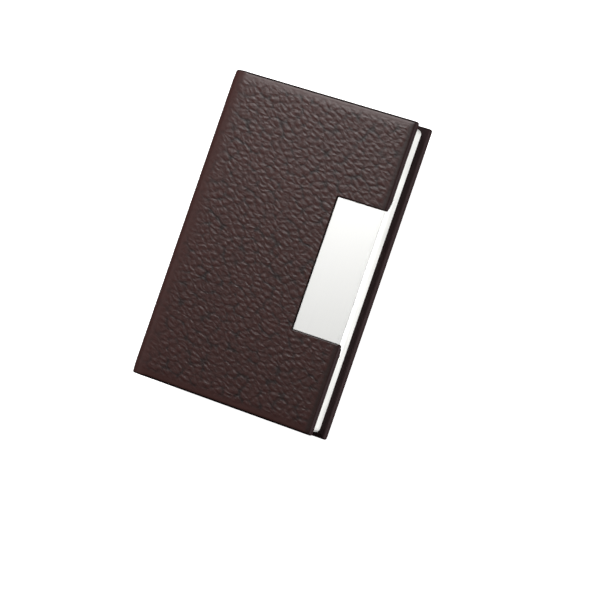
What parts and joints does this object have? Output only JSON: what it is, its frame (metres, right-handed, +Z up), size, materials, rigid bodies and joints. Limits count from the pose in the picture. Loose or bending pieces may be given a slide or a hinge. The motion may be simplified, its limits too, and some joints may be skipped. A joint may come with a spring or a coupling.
{
  "type": "business card holder",
  "caption": "Slim book-style card holder: leather-wrapped boards folding on a rounded spine over a steel card tray, with a blank steel name plate at the opening edge.",
  "frame": {"origin": "middle of the closed case, on the flat outer face of the back cover that it lies on", "axes": "+X towards the opening edge, -X towards the rounded spine, +Y along the spine, +Z up out of the front cover"},
  "size_m": [0.0644, 0.0954, 0.013],
  "materials": {
    "leather": "pebbled dark brown leather, low sheen",
    "foam": "thin closed-cell foam sheet",
    "board": "grey bookbinding board",
    "adhesive": "double-sided foam tape",
    "lining": "dark woven lining cloth",
    "tray_steel": "drawn stainless steel, satin",
    "liner_steel": "stainless steel sheet, finely brushed",
    "plate_steel": "stainless steel sheet, satin, blank",
    "magnet": "nickel-plated bar magnet"
  },
  "bodies": {
    "base": {"base_leather": "leather", "base_padding": "foam", "base_board": "board", "tray_adhesive": "adhesive", "card_tray": "tray_steel"},
    "spine": {"spine_leather": "leather", "spine_stiffener": "board", "spine_lining": "lining"},
    "lid": {"lid_leather": "leather", "lid_padding": "foam", "lid_board": "board", "lid_magnets": "magnet", "liner_adhesive": "adhesive", "lid_liner": "liner_steel", "plate_adhesive": "adhesive", "name_plate": "plate_steel"}
  },
  "joints": [
    {"name": "spine_fold", "type": "hinge", "parent": "base", "child": "spine", "pos_m": [-0.02565, 0, 0], "axis": [0, -1, 0], "range_deg": [0, 90]},
    {"name": "lid_fold", "type": "hinge", "parent": "spine", "child": "lid", "pos_m": [-0.02565, 0, 0.013], "axis": [0, -1, 0], "range_deg": [0, 90]}
  ]
}
